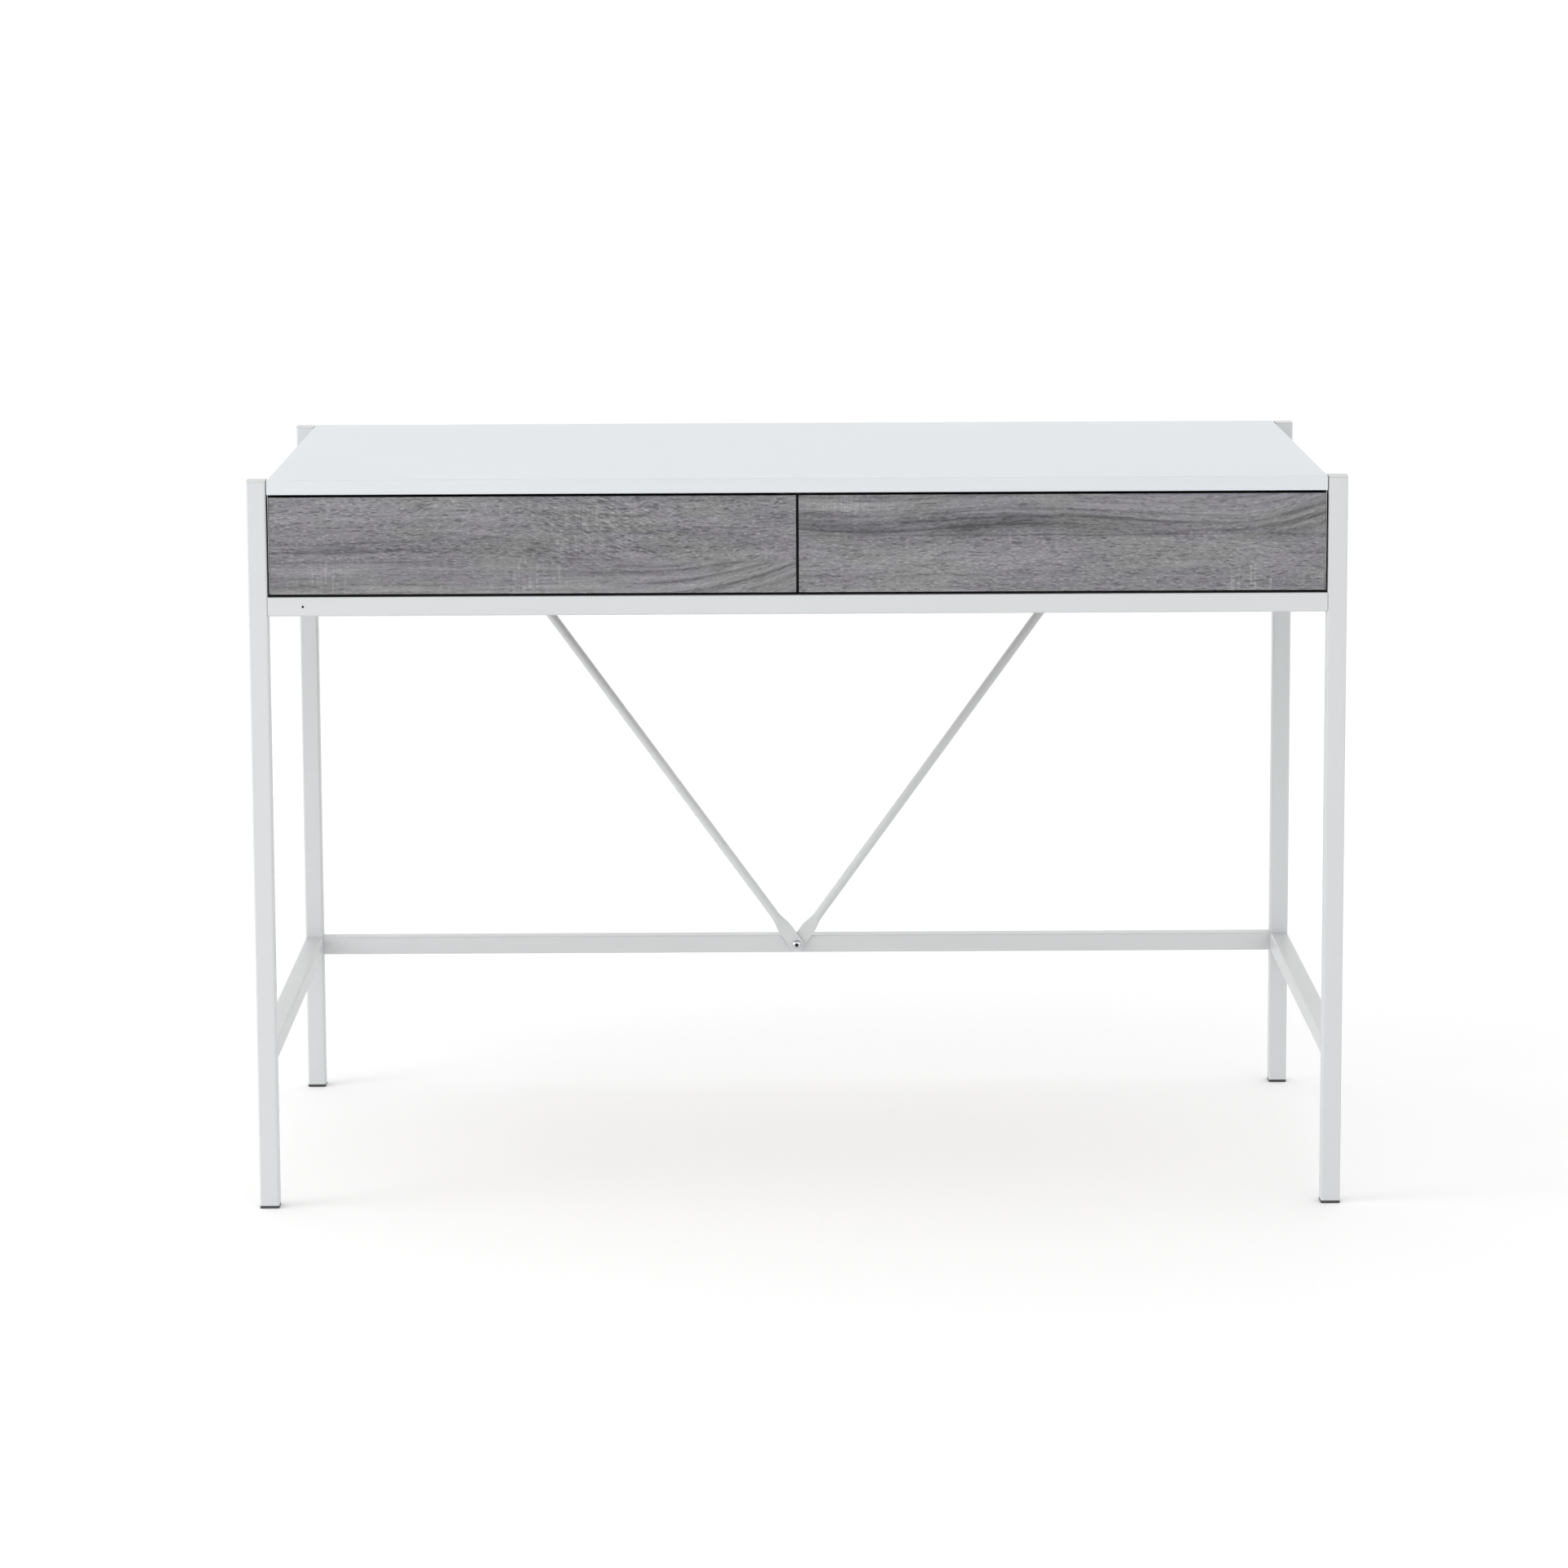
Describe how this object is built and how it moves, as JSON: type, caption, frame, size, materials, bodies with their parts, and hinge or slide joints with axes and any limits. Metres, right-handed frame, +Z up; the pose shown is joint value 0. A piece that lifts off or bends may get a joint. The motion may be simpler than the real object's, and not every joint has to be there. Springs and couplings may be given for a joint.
{
  "type": "writing desk with drawers",
  "caption": "Writing desk: square-tube steel frame with a V brace at the rear, white top set between the legs, and wide drawers with plain grey oak fronts on ball-bearing slides.",
  "frame": {"origin": "on the floor, in the middle of the desk's width and depth", "axes": "+X to the right as the sitter faces the desk's front from outside, +Y to the rear, +Z up"},
  "size_m": [1.124, 0.56, 0.762],
  "materials": {
    "white_steel": "satin powder coat",
    "cap_plastic": "matte",
    "foot_plastic": "matte",
    "zinc_steel": "bright zinc plate",
    "white_laminate": "satin white laminate on particle board",
    "slide_steel": "zinc plate",
    "grey_oak": "matte weathered grey oak laminate",
    "drawer_board": "matte white foil on particle board",
    "bottom_board": "matte grey-white painted hardboard",
    "latch_plastic": "matte"
  },
  "bodies": {
    "frame": {"front_left_leg": "white_steel", "front_right_leg": "white_steel", "rear_left_leg": "white_steel", "rear_right_leg": "white_steel", "left_stretcher": "white_steel", "right_stretcher": "white_steel", "rear_stretcher": "white_steel", "front_rail": "white_steel", "rear_rail": "white_steel", "left_side_rail": "white_steel", "right_side_rail": "white_steel", "left_brace_rod": "white_steel", "right_brace_rod": "white_steel", "front_left_cap": "cap_plastic", "front_right_cap": "cap_plastic", "rear_left_cap": "cap_plastic", "rear_right_cap": "cap_plastic", "front_left_foot": "foot_plastic", "front_right_foot": "foot_plastic", "rear_left_foot": "foot_plastic", "rear_right_foot": "foot_plastic", "frame_bolts": "zinc_steel", "panel_cams": "zinc_steel", "panel_screws": "zinc_steel", "slide_screws": "zinc_steel", "desktop": "white_laminate", "left_side_panel": "white_laminate", "right_side_panel": "white_laminate", "back_panel": "white_laminate", "centre_divider": "white_laminate", "left_drawer_slide_outer_l": "slide_steel", "left_drawer_slide_outer_r": "slide_steel", "left_latch_body": "latch_plastic", "right_drawer_slide_outer_l": "slide_steel", "right_drawer_slide_outer_r": "slide_steel", "right_latch_body": "latch_plastic"},
    "left_drawer": {"left_drawer_front": "grey_oak", "left_drawer_side_l": "drawer_board", "left_drawer_side_r": "drawer_board", "left_drawer_back": "drawer_board", "left_drawer_bottom": "bottom_board", "left_drawer_cams": "zinc_steel", "left_drawer_screws": "zinc_steel", "left_drawer_slide_inner_l": "slide_steel", "left_drawer_slide_inner_r": "slide_steel"},
    "left_slide_middles": {"left_drawer_slide_middle_l": "slide_steel", "left_drawer_slide_middle_r": "slide_steel"},
    "left_plunger": {"left_latch_plunger": "latch_plastic"},
    "right_drawer": {"right_drawer_front": "grey_oak", "right_drawer_side_l": "drawer_board", "right_drawer_side_r": "drawer_board", "right_drawer_back": "drawer_board", "right_drawer_bottom": "bottom_board", "right_drawer_cams": "zinc_steel", "right_drawer_screws": "zinc_steel", "right_drawer_slide_inner_l": "slide_steel", "right_drawer_slide_inner_r": "slide_steel"},
    "right_slide_middles": {"right_drawer_slide_middle_l": "slide_steel", "right_drawer_slide_middle_r": "slide_steel"},
    "right_plunger": {"right_latch_plunger": "latch_plastic"}
  },
  "joints": [
    {"name": "left_drawer_pull", "type": "slide", "parent": "frame", "child": "left_drawer", "axis": [0, -1, 0], "range_m": [0, 0.385]},
    {"name": "left_slides_follow", "type": "slide", "parent": "frame", "child": "left_slide_middles", "axis": [0, -1, 0], "range_m": [0, 0.1925]},
    {"name": "left_latch_press", "type": "slide", "parent": "frame", "child": "left_plunger", "axis": [0, 1, 0], "range_m": [0, 0.0025], "stiffness_N_per_m": 600},
    {"name": "right_drawer_pull", "type": "slide", "parent": "frame", "child": "right_drawer", "axis": [0, -1, 0], "range_m": [0, 0.385]},
    {"name": "right_slides_follow", "type": "slide", "parent": "frame", "child": "right_slide_middles", "axis": [0, -1, 0], "range_m": [0, 0.1925]},
    {"name": "right_latch_press", "type": "slide", "parent": "frame", "child": "right_plunger", "axis": [0, 1, 0], "range_m": [0, 0.0025], "stiffness_N_per_m": 600}
  ],
  "couplings": [
    {"joint": "left_slides_follow", "follows": "left_drawer_pull", "ratio": 0.5},
    {"joint": "right_slides_follow", "follows": "right_drawer_pull", "ratio": 0.5}
  ]
}
